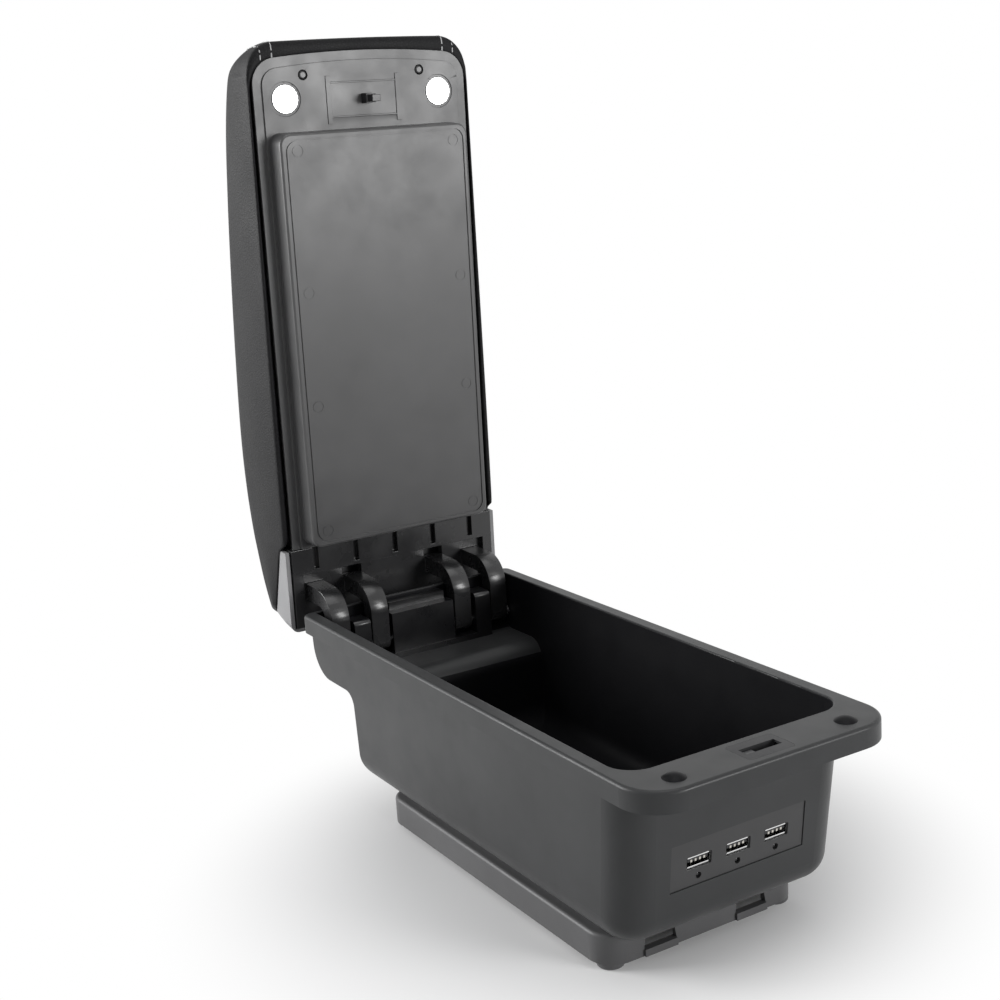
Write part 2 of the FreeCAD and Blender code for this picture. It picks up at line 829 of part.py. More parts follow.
def lid_screw_places():
    """The two screws near the front edge of the inner plate."""
    return [(side * lid_screw_x, lid_y(lid_screw_setback)) for side in SIDES.values()]


def lid_inner_plate():
    """The lid's inner plate: stepped border, magnet seats, screw holes and the latch mould's outline."""
    border = plate_form(0, lid_z + plate_step, plate_thickness - plate_step)
    field = plate_form(plate_step_inset, lid_z, plate_thickness)
    ribs = []
    y = lid_y(latch_setback)
    for side in SIDES.values():
        x = side * mould_half_width
        ribs.append(box(x - mould_rib / 2, x + mould_rib / 2, y - mould_half_length, y + mould_half_length,
                        lid_z - mould_rib_height, lid_z))
        line_y = y + side * mould_line_offset
        ribs.append(box(-mould_half_width, mould_half_width, line_y - mould_line / 2, line_y + mould_line / 2,
                        lid_z - mould_line_height, lid_z))
    body = fuse([border, field] + ribs)
    cuts = []
    for side in SIDES.values():
        place = (side * strike_x, lid_y(strike_setback), lid_z - 1)
        cuts.append(cylinder(magnet_diameter / 2 + magnet_clearance, plate_thickness + 2, place, (0, 0, 1)))
        cuts.append(cylinder(magnet_diameter / 2 + magnet_ring, 1.5, place, (0, 0, 1)))
    for x, sy in lid_screw_places():
        cuts.append(cylinder(screw_shank / 2, plate_thickness + 2, (x, sy, lid_z - 1), (0, 0, 1)))
        cuts.append(cylinder(screw_head / 2 + 0.2, 2.6, (x, sy, lid_z - 1), (0, 0, 1)))
    half = hook_width / 2 + 0.1
    cuts.append(box(hook_offset - half, hook_offset + half, y - hook_depth / 2 - 0.1, y + hook_depth / 2 + 0.1,
                    lid_z - 1, lid_z + plate_thickness + 1))
    return body.cut(cuts)


def panel_section(inset, z):
    """The plan of the raised cover panel at one height, set in by some distance."""
    return rounded_rectangle(cover_panel_half_width - inset, lid_y(cover_panel_start) + inset,
                             lid_y(cover_panel_end) - inset, cover_panel_corner, cover_panel_corner, z)


def lid_panel():
    """The raised cover panel, a shallow drafted tray."""
    face_z = lid_z - cover_panel_rise
    outside = Part.makeLoft([panel_section(cover_panel_draft, face_z), panel_section(0, lid_z)], True, True)
    outside = outside.makeFillet(cover_panel_edge, edges_at_height(outside, face_z))
    inside = Part.makeLoft([panel_section(cover_panel_draft + cover_panel_wall, face_z + cover_panel_wall),
                            panel_section(cover_panel_wall, lid_z + 0.01)], True, True)
    return outside.cut([inside, panel_groove(face_z)] + ejector_marks(face_z))


def panel_groove(face_z):
    """The thin groove just inside the panel's edge."""
    inset = cover_panel_draft + cover_groove_inset
    band = Part.Face([panel_section(inset, face_z - 1), panel_section(inset + cover_groove_width, face_z - 1)])
    band.validate()
    return band.extrude(V(0, 0, 1 + cover_groove_depth))


def ejector_marks(face_z):
    """The faint rings that the mould's ejector pins leave along both sides of the panel."""
    half = cover_panel_half_width - cover_panel_draft - ejector_inset
    start = lid_y(cover_panel_start) + ejector_inset
    end = lid_y(cover_panel_end) - ejector_inset
    marks = []
    for share in (0.0, 0.36, 0.66, 1.0):
        for side in SIDES.values():
            place = (side * half, start + (end - start) * share, face_z - 1)
            ring = cylinder(ejector_ring / 2, 1.2, place, (0, 0, 1))
            marks.append(ring.cut(cylinder(ejector_ring / 2 - 0.45, 1.2, place, (0, 0, 1))))
    return marks


def lid_shell():
    """The hard tray above the inner plate that carries the padding."""
    z0 = lid_z + plate_thickness
    z1 = lid_z + shell_height
    outside = prism(rounded_rectangle(plate_half_width - shell_inset, lid_y(-lid_front) + shell_inset,
                                      lid_y(shell_end), plate_front_radius - shell_inset, 4.0, z0), z1 - z0)
    top_edges = edges_at_height(outside, z1)
    outside = outside.makeFillet(3.0, top_edges)
    inset = shell_inset + shell_wall
    inside = prism(rounded_rectangle(plate_half_width - inset, lid_y(-lid_front) + inset,
                                     lid_y(shell_end) - shell_wall, plate_front_radius - inset, 1.0, z0 - 1),
                   z1 - z0 + 1 - shell_wall)
    frame_room = box(-rim_width, rim_width, lid_y(plate_end), lid_y(lid_end) + 5, z0 - 1, lid_z + frame_height)
    bosses = [cylinder(3.2, shell_height - plate_thickness - shell_wall, (x, y, z0), (0, 0, 1))
              for x, y in lid_screw_places()]
    body = fuse([outside.cut(inside)] + bosses)
    holes = [cylinder(screw_shank / 2, screw_length, (x, y, z0 - 0.5), (0, 0, 1))
             for x, y in lid_screw_places()]
    return body.cut(holes + [frame_room])


def lid_screws():
    """The two screws through the inner plate into the shell."""
    seat = lid_z + 1.6
    return Part.makeCompound([screw((x, y, seat), (0, 0, 1), screw_length - 1) for x, y in lid_screw_places()])


def lid_magnet(side):
    """A round magnet seated flush in the inner plate."""
    place = (side * strike_x, lid_y(strike_setback), lid_z)
    return cylinder(magnet_diameter / 2, magnet_thickness, place, (0, 0, 1))


def latch_hook():
    """The hook that drops into the latch: a square body, a thinner stem and a nose towards the catch."""
    y = lid_y(latch_setback)
    half = hook_width / 2
    flange = box(hook_offset - half - 2, hook_offset + half + 2,
                 y - hook_depth / 2 - 2, y + hook_depth / 2 + 2,
                 lid_z + plate_thickness, lid_z + plate_thickness + hook_flange)
    body = box(hook_offset - half, hook_offset + half, y - hook_depth / 2, y + hook_depth / 2,
               lid_z - hook_body, lid_z + plate_thickness)
    stem_x = hook_offset - half + hook_nose
    stem = box(stem_x, hook_offset + half, y - hook_depth / 2 + 0.7, y + hook_depth / 2 - 0.7,
               lid_z - hook_reach, lid_z - hook_body)
    return fuse([flange, body, stem])


def cap_outline(grow):
    """The side view of the end cap: a wedge that rises to the back and leans in with the padding."""
    y0 = lid_y(plate_end) + 1
    y1 = lid_y(cap_back)
    low = lid_z + cap_rise - 5 * grow
    middle = lid_z + (cap_rise + cap_rear_height) / 2
    top = lid_z + cap_rear_height + grow
    return [(y0 - grow, low), (y1 + grow, low), (y1 - cap_lean / 3 + grow, middle),
            (lid_y(pad_back) + grow, top),
            (y1 - 2 * cap_lean - grow, top), (y0 - grow, lid_z + cap_front_height + grow)]


def cap_room():
    """The space inside the end cap, behind the hinge frame."""
    y0 = lid_y(plate_end)
    y1 = lid_y(lid_end) + cap_rear_gap
    top = lid_z + cap_rear_height + 5
    points = [(y0, lid_z - 5), (y1, lid_z - 5), (y1, lid_z + frame_height + 0.5),
              (lid_y(pad_back) - cap_wall, top), (y0, top)]
    return side_polygon(points, cap_half_width - cap_wall)


def rear_cap():
    """The end cap of the lid: a wedge-shaped cheek at each side joined by a wall across the back."""
    wedge = side_polygon(cap_outline(0), cap_half_width)
    back = lid_y(pad_back) - 0.01
    corners = [e for e in wedge.Edges if e.BoundBox.XLength < 0.01 and e.BoundBox.YMin > back]
    return wedge.makeFillet(cap_corner, corners).cut(cap_room())


# Padding

# Heights above the lid's lower face: behind the padding's front, at shares of its length, ahead of its back
PAD_FRONT_ROLL = [(7.0, 26.0), (17.0, 39.0), (57.0, 53.0)]
PAD_CROWN = [(0.35, 60.0), (0.525, 64.5), (0.695, 66.5)]
PAD_REAR_ROLL = [(57.5, 62.5), (27.5, 52.5), (8.5, 38.0)]


def pad_crown():
    """The line over the middle of the padding, from its front lip to its back."""
    front = lid_y(-pad_front)
    back = lid_y(pad_back)
    points = [(front, pad_lip_height)]
    points += [(front + reach, height) for reach, height in PAD_FRONT_ROLL]
    points += [(front + (back - front) * share, height) for share, height in PAD_CROWN]
    points += [(back - reach, height) for reach, height in PAD_REAR_ROLL]
    points.append((back, cap_rear_height))
    crown = Part.BSplineCurve()
    crown.interpolate([side_point(y, lid_z + height) for y, height in points])
    return crown.toShape()


def pad_profile():
    """The side view of the padding: a full front roll, a rising crown and a rounded back."""
    z0 = lid_z + pad_wrap
    front = lid_y(-pad_front)
    back = lid_y(pad_back)
    top = lid_z + cap_rear_height
    lip = lid_z + pad_lip_height
    edges = [
        pad_crown(),
        side_line((back, top), (back, z0)),
        side_line((back, z0), (front + pad_lip_tuck, z0)),
        side_line((front + pad_lip_tuck, z0), (front, lip)),
    ]
    return side_profile(edges, pad_half_width + 1)


def lid_pad():
    """The padded, covered top of the armrest, hollow underneath for the shell and frame."""
    front = lid_y(-pad_front)
    back = lid_y(pad_back)
    plan = prism(rounded_rectangle(pad_half_width, front, back + pad_rear_radius, pad_front_radius,
                                   pad_rear_radius, lid_z - 5), 90)
    form = pad_profile().common(plan)
    long_edges = [e for e in form.Edges if e.BoundBox.YLength > (back - front) / 2
                  and e.BoundBox.XLength < 1 and e.BoundBox.ZMax > lid_z + shell_height]
    form = form.makeFillet(pad_top_radius, long_edges)
    gap = pad_gap
    cuts = [
        plate_form(-pad_wrap, lid_z - 1, plate_thickness + 1 + gap),
        prism(rounded_rectangle(plate_half_width - shell_inset + gap, lid_y(-lid_front) + shell_inset - gap,
                                lid_y(shell_end) + gap, plate_front_radius - shell_inset + gap, 4.0, lid_z),
              shell_height + gap),
        box(-frame_half_width - gap, frame_half_width + gap, lid_y(plate_end) - gap, lid_y(lid_end) + 10,
            lid_z - 1, lid_z + frame_height + gap),
    ]
    inside = box(-cap_half_width + cap_wall + gap, cap_half_width - cap_wall - gap, lid_y(plate_end) - 20,
                 lid_y(shell_end) + gap, lid_z - 20, lid_z + 90)
    cuts.append(side_polygon(cap_outline(gap), rim_width).cut(inside))
    return form.cut(cuts)


def build():
    """Makes every piece, each in a file of its own."""
    os.makedirs("parts", exist_ok=True)
    fixed = {
        "storage_tub": storage_tub(),
        "base_tray": base_tray(),
        "base_screws": base_screws(),
        "hinge_bracket": hinge_bracket(),
        "bracket_screws": bracket_screws(),
        "latch_insert": latch_insert(),
        "latch_catch": latch_catch(),
    }
    for name, side in SIDES.items():
        fixed["hinge_pin_" + name] = hinge_pin(side)
        fixed["rim_strike_" + name] = rim_strike(side)
    on_wall = {"usb_panel": usb_panel(), "usb_board": usb_board(), "usb_cover": usb_cover()}
    for name, x in PORT_PLACES.items():
        on_wall["usb_shell_" + name] = usb_shell(x)
        on_wall["usb_tongue_" + name] = usb_tongue(x)
        on_wall["usb_led_" + name] = usb_led(x)
    on_lid = {
        "lid_inner_plate": lid_inner_plate(),
        "lid_panel": lid_panel(),
        "hinge_frame": hinge_frame(),
        "lid_shell": lid_shell(),
        "lid_pad": lid_pad(),
        "rear_cap": rear_cap(),
        "latch_hook": latch_hook(),
        "lid_screws": lid_screws(),
    }
    for name, side in SIDES.items():
        on_lid["lid_magnet_" + name] = lid_magnet(side)
    for name, shape in fixed.items():
        save(name, shape)
    for name, shape in on_wall.items():
        save(name, on_front_wall(shape))
    for name, shape in on_lid.items():
        save(name, open_lid(shape))


build()
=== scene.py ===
"""Looks for the armrest storage box: leather pad, stitching, moulded plastics, metal, light and camera."""

import math

import bmesh
import bpy
from mathutils import Matrix, Vector, noise


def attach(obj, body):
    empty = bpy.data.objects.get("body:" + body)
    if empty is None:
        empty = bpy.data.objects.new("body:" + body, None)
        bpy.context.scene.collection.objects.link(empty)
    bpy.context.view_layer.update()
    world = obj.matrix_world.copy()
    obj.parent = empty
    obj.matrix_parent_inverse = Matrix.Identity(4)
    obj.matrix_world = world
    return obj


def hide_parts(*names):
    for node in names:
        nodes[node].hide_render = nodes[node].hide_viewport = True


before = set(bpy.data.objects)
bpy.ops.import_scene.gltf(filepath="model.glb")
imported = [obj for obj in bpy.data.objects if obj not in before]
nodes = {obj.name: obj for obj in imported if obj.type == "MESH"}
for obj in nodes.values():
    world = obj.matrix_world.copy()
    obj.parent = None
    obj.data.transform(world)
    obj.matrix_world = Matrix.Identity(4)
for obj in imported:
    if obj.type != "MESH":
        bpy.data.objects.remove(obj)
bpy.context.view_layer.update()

MM = 0.001

# Where things are, in millimetres, as in the part's own source
RIM_FRONT = -157.0
RIM_TOP = 106.0
HINGE_Y = 156.5
HINGE_Z = 83.5
LID_Z = 108.0
LID_OPEN = math.radians(-88.0)
TUB_HALF = 60.0
TUB_FRONT = -131.5
TUB_CORNER = 13.5
TUB_FLOOR = 20.0
LEDGE_TOP = 73.0
LEDGE_ROUND = 6.0
LEDGE_REAR = 164.5
LOWER_REAR = 119.0
BOWL_MIDDLE = Vector((0.0, 0.0, 80.0)) * MM
SIDE_SLOPE = math.tan(math.radians(1.5))
FRONT_SLOPE = math.tan(math.radians(7.4))


def lid_point(x, setback, height):
    """A point of the lid, drawn shut, turned to where the lid stands open, in metres."""
    y = RIM_FRONT + setback - HINGE_Y
    z = LID_Z + height - HINGE_Z
    turned_y = y * math.cos(LID_OPEN) - z * math.sin(LID_OPEN)
    turned_z = y * math.sin(LID_OPEN) + z * math.cos(LID_OPEN)
    return Vector((x, HINGE_Y + turned_y, HINGE_Z + turned_z)) * MM


def smooth_table(table, at):
    """A value read from a table of places and values, eased with a cubic between them."""
    places = [p for p, value in table]
    values = [value for p, value in table]
    if at <= places[0]:
        return values[0]
    if at >= places[-1]:
        return values[-1]
    i = max(k for k in range(len(places) - 1) if places[k] <= at)

    def slope(k):
        low = max(k - 1, 0)
        high = min(k + 1, len(places) - 1)
        return (values[high] - values[low]) / (places[high] - places[low])

    width = places[i + 1] - places[i]
    t = (at - places[i]) / width
    a = values[i]
    b = values[i + 1]
    m0 = slope(i) * width
    m1 = slope(i + 1) * width
    return ((2 * t ** 3 - 3 * t ** 2 + 1) * a + (t ** 3 - 2 * t ** 2 + t) * m0
            + (-2 * t ** 3 + 3 * t ** 2) * b + (t ** 3 - t ** 2) * m1)


# Materials

def new_material(name):
    """An empty node material with its shader and output."""
    material = bpy.data.materials.new(name)
    material.use_nodes = True
    tree = material.node_tree
    shader = tree.nodes["Principled BSDF"]
    return material, tree, shader


def link(tree, source, output, target, entry):
    """Joins one node's output to another's input."""
    tree.links.new(source.outputs[output], target.inputs[entry])


def noise_node(tree, coordinates, scale, detail, roughness=0.55):
    """A noise texture in the object's own metres."""
    node = tree.nodes.new("ShaderNodeTexNoise")
    node.inputs["Scale"].default_value = scale
    node.inputs["Detail"].default_value = detail
    node.inputs["Roughness"].default_value = roughness
    link(tree, coordinates, "Object", node, "Vector")
    return node


def ramp_node(tree, source, output, stops):
    """A colour ramp through some stops."""
    node = tree.nodes.new("ShaderNodeValToRGB")
    elements = node.color_ramp.elements
    while len(elements) < len(stops):
        elements.new(0.5)
    for element, (place, colour) in zip(elements, stops):
        element.position = place
        element.color = (*colour, 1.0) if len(colour) == 3 else colour
    link(tree, source, output, node, "Fac")
    return node


def grey(value):
    """A neutral colour."""
    return (value, value, value)


def scaled(colour, factor):
    """A colour made lighter or darker."""
    return tuple(min(1.0, c * factor) for c in colour)


COLOUR_DRIFT = 0.12


def plastic(name, colour, rough, grain_size, grain_depth, specular=0.5):
    """Moulded plastic: fine spark grain, slight colour drift and patches of different sheen."""
    material, tree, shader = new_material(name)
    coordinates = tree.nodes.new("ShaderNodeTexCoord")
    drift = noise_node(tree, coordinates, 18.0, 3.0)
    darker = scaled(colour, 1 - COLOUR_DRIFT)
    lighter = scaled(colour, 1 + COLOUR_DRIFT)
    tint = ramp_node(tree, drift, "Fac", [(0.3, darker), (0.7, lighter)])
    link(tree, tint, "Color", shader, "Base Color")
    wear = noise_node(tree, coordinates, 55.0, 4.0)
    sheen = ramp_node(tree, wear, "Fac", [(0.3, grey(rough - 0.05)), (0.7, grey(rough + 0.06))])
    link(tree, sheen, "Color", shader, "Roughness")
    grain = noise_node(tree, coordinates, 1.0 / (grain_size * MM), 2.0, 0.6)
    bump = tree.nodes.new("ShaderNodeBump")
    bump.inputs["Strength"].default_value = 0.35
    bump.inputs["Distance"].default_value = grain_depth * MM
    link(tree, grain, "Fac", bump, "Height")
    link(tree, bump, "Normal", shader, "Normal")
    shader.inputs["Specular IOR Level"].default_value = specular
    return material


def metal(name, colour, rough, brush):
    """Plated or ground metal with fine scratches along one direction."""
    material, tree, shader = new_material(name)
    coordinates = tree.nodes.new("ShaderNodeTexCoord")
    stretch = tree.nodes.new("ShaderNodeMapping")
    stretch.inputs["Scale"].default_value = brush
    link(tree, coordinates, "Object", stretch, "Vector")
    scratches = tree.nodes.new("ShaderNodeTexNoise")
    scratches.inputs["Scale"].default_value = 1.0
    scratches.inputs["Detail"].default_value = 4.0
    link(tree, stretch, "Vector", scratches, "Vector")
    tint = ramp_node(tree, scratches, "Fac", [(0.25, scaled(colour, 0.85)), (0.75, scaled(colour, 1.08))])
    link(tree, tint, "Color", shader, "Base Color")
    sheen = ramp_node(tree, scratches, "Fac", [(0.25, grey(rough - 0.06)), (0.75, grey(rough + 0.08))])
    link(tree, sheen, "Color", shader, "Roughness")
    bump = tree.nodes.new("ShaderNodeBump")
    bump.inputs["Strength"].default_value = 0.12
    bump.inputs["Distance"].default_value = 0.05 * MM
    link(tree, scratches, "Fac", bump, "Height")
    link(tree, bump, "Normal", shader, "Normal")
    shader.inputs["Metallic"].default_value = 1.0
    return material


def leather(name, colour):
    """Black leather: pebbled cells with creases between them, slow wrinkles and an uneven sheen."""
    material, tree, shader = new_material(name)
    coordinates = tree.nodes.new("ShaderNodeTexCoord")
    warp = noise_node(tree, coordinates, 260.0, 2.0)
    mixed = tree.nodes.new("ShaderNodeVectorMath")
    mixed.operation = "MULTIPLY_ADD"
    mixed.inputs[1].default_value = (0.0012, 0.0012, 0.0012)
    link(tree, warp, "Color", mixed, 0)
    tree.links.new(coordinates.outputs["Object"], mixed.inputs[2])
    cells = tree.nodes.new("ShaderNodeTexVoronoi")
    cells.feature = "DISTANCE_TO_EDGE"
    cells.inputs["Scale"].default_value = 620.0
    link(tree, mixed, "Vector", cells, "Vector")
    pebble = ramp_node(tree, cells, "Distance", [(0.0, grey(0.0)), (0.22, grey(1.0))])
    fold = noise_node(tree, coordinates, 70.0, 4.0)
    height = tree.nodes.new("ShaderNodeMath")
    height.operation = "MULTIPLY_ADD"
    height.inputs[1].default_value = 0.55
    link(tree, pebble, "Color", height, 0)
    tree.links.new(fold.outputs["Fac"], height.inputs[2])
    bump = tree.nodes.new("ShaderNodeBump")
    bump.inputs["Strength"].default_value = 0.5
    bump.inputs["Distance"].default_value = 0.22 * MM
    link(tree, height, "Value", bump, "Height")
    link(tree, bump, "Normal", shader, "Normal")
    patch = noise_node(tree, coordinates, 24.0, 3.0)
    tint = ramp_node(tree, patch, "Fac", [(0.3, scaled(colour, 0.8)), (0.7, scaled(colour, 1.25))])
    # Painted shade: the creases between the pebbles are darkened in the base colour.
    crease_shade = tree.nodes.new("ShaderNodeMix")
    crease_shade.data_type = "RGBA"
    crease_shade.blend_type = "MULTIPLY"
    crease_shade.inputs["Factor"].default_value = 0.6
    link(tree, tint, "Color", crease_shade, "A")
    link(tree, pebble, "Color", crease_shade, "B")
    link(tree, crease_shade, "Result", shader, "Base Color")
    sheen = ramp_node(tree, patch, "Fac", [(0.3, grey(0.46)), (0.7, grey(0.58))])
    link(tree, sheen, "Color", shader, "Roughness")
    shader.inputs["Specular IOR Level"].default_value = 0.15
    return material


tub_black = plastic("tub_black", (0.040, 0.041, 0.042), 0.36, 0.35, 0.04, specular=0.22)
# Painted shade: the inside of the tub's bowl is coloured far darker than the outside of the same moulding,
# for the shade in the bowl; it is also rougher and less shiny.
tub_inside_painted_shade = plastic("tub_inside_painted_shade", (0.007, 0.007, 0.008), 0.5, 0.5, 0.08, specular=0.08)
base_black = plastic("base_black", (0.100, 0.100, 0.102), 0.42, 0.4, 0.05, specular=0.30)
lid_black = plastic("lid_black", (0.072, 0.072, 0.073), 0.35, 0.35, 0.04)
frame_black = plastic("frame_black", (0.024, 0.024, 0.025), 0.27, 0.4, 0.02)
bracket_black = plastic("bracket_black", (0.007, 0.007, 0.008), 0.30, 0.4, 0.02)
cap_grey = plastic("cap_grey", (0.24, 0.24, 0.245), 0.45, 0.35, 0.05)
panel_black = plastic("panel_black", (0.050, 0.050, 0.051), 0.5, 0.3, 0.04, specular=0.3)
insert_black = plastic("insert_black", (0.036, 0.036, 0.038), 0.40, 0.3, 0.03, specular=0.2)
catch_black = plastic("catch_black", (0.085, 0.085, 0.088), 0.36, 0.3, 0.03)
hook_black = plastic("hook_black", (0.020, 0.020, 0.022), 0.36, 0.3, 0.03)
tongue_black = plastic("tongue_black", (0.012, 0.012, 0.013), 0.3, 0.3, 0.02)
lamp_black = plastic("lamp_black", (0.006, 0.006, 0.007), 0.2, 0.3, 0.01)
board_green = plastic("board_green", (0.02, 0.09, 0.045), 0.35, 0.5, 0.02)
strike_black = plastic("strike_black", (0.004, 0.004, 0.005), 0.40, 0.3, 0.01, specular=0.10)
screw_dark = plastic("screw_dark", (0.008, 0.008, 0.009), 0.28, 0.3, 0.02)
pin_steel = metal("pin_steel", (0.52, 0.52, 0.54), 0.28, (60, 1500, 1500))
shell_bright = metal("shell_bright", (0.86, 0.86, 0.86), 0.16, (200, 1200, 1200))
contact_gold = metal("contact_gold", (0.62, 0.60, 0.55), 0.25, (200, 1200, 1200))
magnet_nickel = metal("magnet_nickel", (0.90, 0.90, 0.90), 0.34, (500, 500, 500))
pad_leather = leather("pad_leather", (0.008, 0.008, 0.009))
thread_grey = plastic("thread_grey", (0.60, 0.60, 0.60), 0.6, 0.25, 0.1)

FINISH = {
    "storage_tub": tub_black, "usb_cover": tub_black, "base_tray": base_black,
    "hinge_bracket": bracket_black, "latch_insert": insert_black, "latch_catch": catch_black,
    "latch_hook": hook_black, "usb_panel": panel_black, "usb_board": board_green,
    "lid_inner_plate": lid_black, "lid_panel": lid_black, "lid_shell": lid_black,
    "hinge_frame": frame_black, "rear_cap": cap_grey, "base_screws": screw_dark, "bracket_screws": screw_dark,
    "lid_screws": screw_dark, "hinge_pin_left": pin_steel, "hinge_pin_right": pin_steel,
    "rim_strike_left": strike_black, "rim_strike_right": strike_black,
    "lid_magnet_left": magnet_nickel, "lid_magnet_right": magnet_nickel, "lid_pad": pad_leather,
}
for place in ("left", "centre", "right"):
    FINISH["usb_shell_" + place] = shell_bright
    FINISH["usb_tongue_" + place] = tongue_black
    FINISH["usb_led_" + place] = lamp_black

for name, material in FINISH.items():
    mesh = nodes[name].data
    mesh.materials.clear()
    mesh.materials.append(material)


def paint_shade_inside_tub():
    """Gives the faces inside the bowl of the tub, apart from its ledge, a far darker colour as painted shade,
    with a rougher and less shiny surface.
    """
    mesh = nodes["storage_tub"].data
    mesh.materials.append(tub_inside_painted_shade)
    for polygon in mesh.polygons:
        x, y, z = (value / MM for value in polygon.center)
        depth = RIM_TOP - z
        half = TUB_HALF - depth * SIDE_SLOPE
        front = TUB_FRONT + depth * FRONT_SLOPE
        rear = LEDGE_REAR if z > LEDGE_TOP - 1 else LOWER_REAR
        over_x = max(abs(x) - half + TUB_CORNER, 0.0)
        over_y = max(front + TUB_CORNER - y, 0.0)
        bowl = math.hypot(over_x, over_y) < TUB_CORNER + 1
        shelf = LEDGE_TOP - LEDGE_ROUND < z < LEDGE_TOP + 0.5 and polygon.normal.z > 0.3
        faces_in = polygon.normal.dot(BOWL_MIDDLE - polygon.center) > 0
        if depth > 0.4 and bowl and faces_in and y < rear + 1 and z > TUB_FLOOR - 1 and not shelf:
            polygon.material_index = 1


paint_shade_inside_tub()


def soften_edges(name, width):
    """Rounds a moulding's sharp edges a little, so that they catch the light."""
    weld = nodes[name].modifiers.new("weld", "WELD")
    weld.merge_threshold = 0.002 * MM
    bevel = nodes[name].modifiers.new("bevel", "BEVEL")
    bevel.width = width * MM
    bevel.segments = 2
    bevel.limit_method = "ANGLE"
    bevel.angle_limit = math.radians(50)
    bevel.harden_normals = True
    bevel.use_clamp_overlap = True


for name in ("base_tray", "hinge_bracket", "hinge_frame", "lid_inner_plate", "latch_insert",
             "latch_hook", "rear_cap", "usb_cover"):
    soften_edges(name, 0.35)


# Padding: setbacks are from the rim's front and heights from the lid's lower face, in millimetres

PAD_FRONT = -19.0
PAD_REAR = 302.6
PAD_CORNER = 17.0
PAD_BOW = 1.0
PAD_HEEL = 8.0
PAD_ROLL = 18.0
SEAM = 54.75
STITCH_LINES = (51.5, 58.0)
STITCH_PITCH = 5.6
STITCH_LENGTH = 4.5
STITCH_RADIUS = 0.5
CROWN = [(-19.0, 22.0), (-12.0, 29.0), (-4.0, 37.5), (10.0, 45.0), (38.0, 53.5), (93.0, 61.0), (150.0, 65.5),
         (205.0, 67.5), (245.0, 63.5), (275.0, 54.5), (294.0, 46.5), (302.6, 43.5)]
HALF = [(-19.0, 66.6), (40.0, 67.2), (180.0, 68.8), (302.6, 69.4)]
EDGE_ROLL = [(-19.0, 11.0), (10.0, 15.0), (60.0, 18.0), (302.6, 18.0)]
HEM_LEVEL = 3.2
HEM_STEP = (254.0, 256.5, 258.5)
HEM_REAR = [(258.5, 9.2), (298.0, 21.6), (302.6, 21.6)]
SIDE_BULGE = 0.9
MESH_HALF = 67.0
MESH_SPREAD = 59.5
MESH_CORNER = 66.9
PLATE_CORNER = (50.0, 7.5)
PLATE_REACH = 15.2
PLATE_BOW = 3.0


# Steps of the turned hem: share of the way to where it ends, and height over the hem
TUCKS = [(0.08, -1.0), (0.32, -1.8), (0.68, -1.8), (0.94, -0.9), (1.0, 1.6)]


def pad_half(setback):
    """Half the width of the padding at one place along the lid."""
    return smooth_table(HALF, setback)


def hem_level(setback):
    """The height of the padding's lower edge: level along the plate, then rising over the end cap."""
    if setback <= HEM_STEP[0]:
        return HEM_LEVEL
    table = [(HEM_STEP[0], HEM_LEVEL)] + HEM_REAR
    for (a, low), (b, high) in zip(table, table[1:]):
        if setback <= b:
            return low + (high - low) * (setback - a) / (b - a)
    return table[-1][1]


def corner_inset(x, flat, radius):
    """How far a rounded corner sets an outline back at one distance from the middle."""
    over = min(max(abs(x) - flat, 0.0), radius)
    return radius - math.sqrt(radius ** 2 - over ** 2)


def front_bow(x):
    """How far the bowed front edge falls back at one distance from the middle."""
    return PAD_BOW * (x / pad_half(PAD_FRONT)) ** 2


def pad_front_at(x):
    """How far forward the padding reaches at one distance from its middle line."""
    return PAD_FRONT + front_bow(x) + corner_inset(x, pad_half(PAD_FRONT) - PAD_CORNER, PAD_CORNER)


def pad_rear_at(x):
    """How far back the padding reaches at one distance from its middle line."""
    return PAD_REAR - corner_inset(x, pad_half(PAD_REAR) - PAD_HEEL, PAD_HEEL)


def inward(x, setback):
    """How far a point lies inside the front and sides of the padding, seen from above."""
    half = pad_half(setback)
    flat = half - PAD_CORNER
    front = PAD_FRONT + front_bow(x)
    start = front + PAD_CORNER
    if abs(x) > flat and setback < start:
        return PAD_CORNER - math.hypot(abs(x) - flat, start - setback)
    return min(half - abs(x), setback - front)


def rolled(depth, roll):
    """How far a round edge has risen, from 0 at the edge to 1 where the roll ends."""
    share = min(max(depth / roll, 0.0), 1.0)
    return math.sqrt(1 - (1 - share) ** 2)


def seam_dip(x):
    """The valley that the seam pulls into the padding."""
    away = abs(abs(x) - SEAM)
    swell = 0.55 * math.exp(-((away - 4.2) / 2.6) ** 2)
    return swell - 1.5 * math.exp(-(away / 1.0) ** 2)


def pad_top(x, setback):
    """The height of the padding's upper face."""
    roll = smooth_table(EDGE_ROLL, setback)
    edge = inward(x, setback)
    back = PAD_REAR - setback
    rise = rolled(edge, roll) * rolled(back, PAD_ROLL)
    spread = 1.6 * (x / pad_half(setback)) ** 2
    slack = 0.5 * noise.noise(Vector((x * 0.03, setback * 0.03, 1.7)))
    fade = min(max(min(edge, back) / 4.0, 0.0), 1.0)
    return smooth_table(CROWN, setback) - spread - roll + roll * rise + (seam_dip(x) + slack) * fade


def pad_wall(x, setback, share):
    """A point on the padding's upright side, from the hem at share 0 to the roll at share 1."""
    hem = hem_level(setback)
    return hem + (pad_top(x, setback) - hem) * share


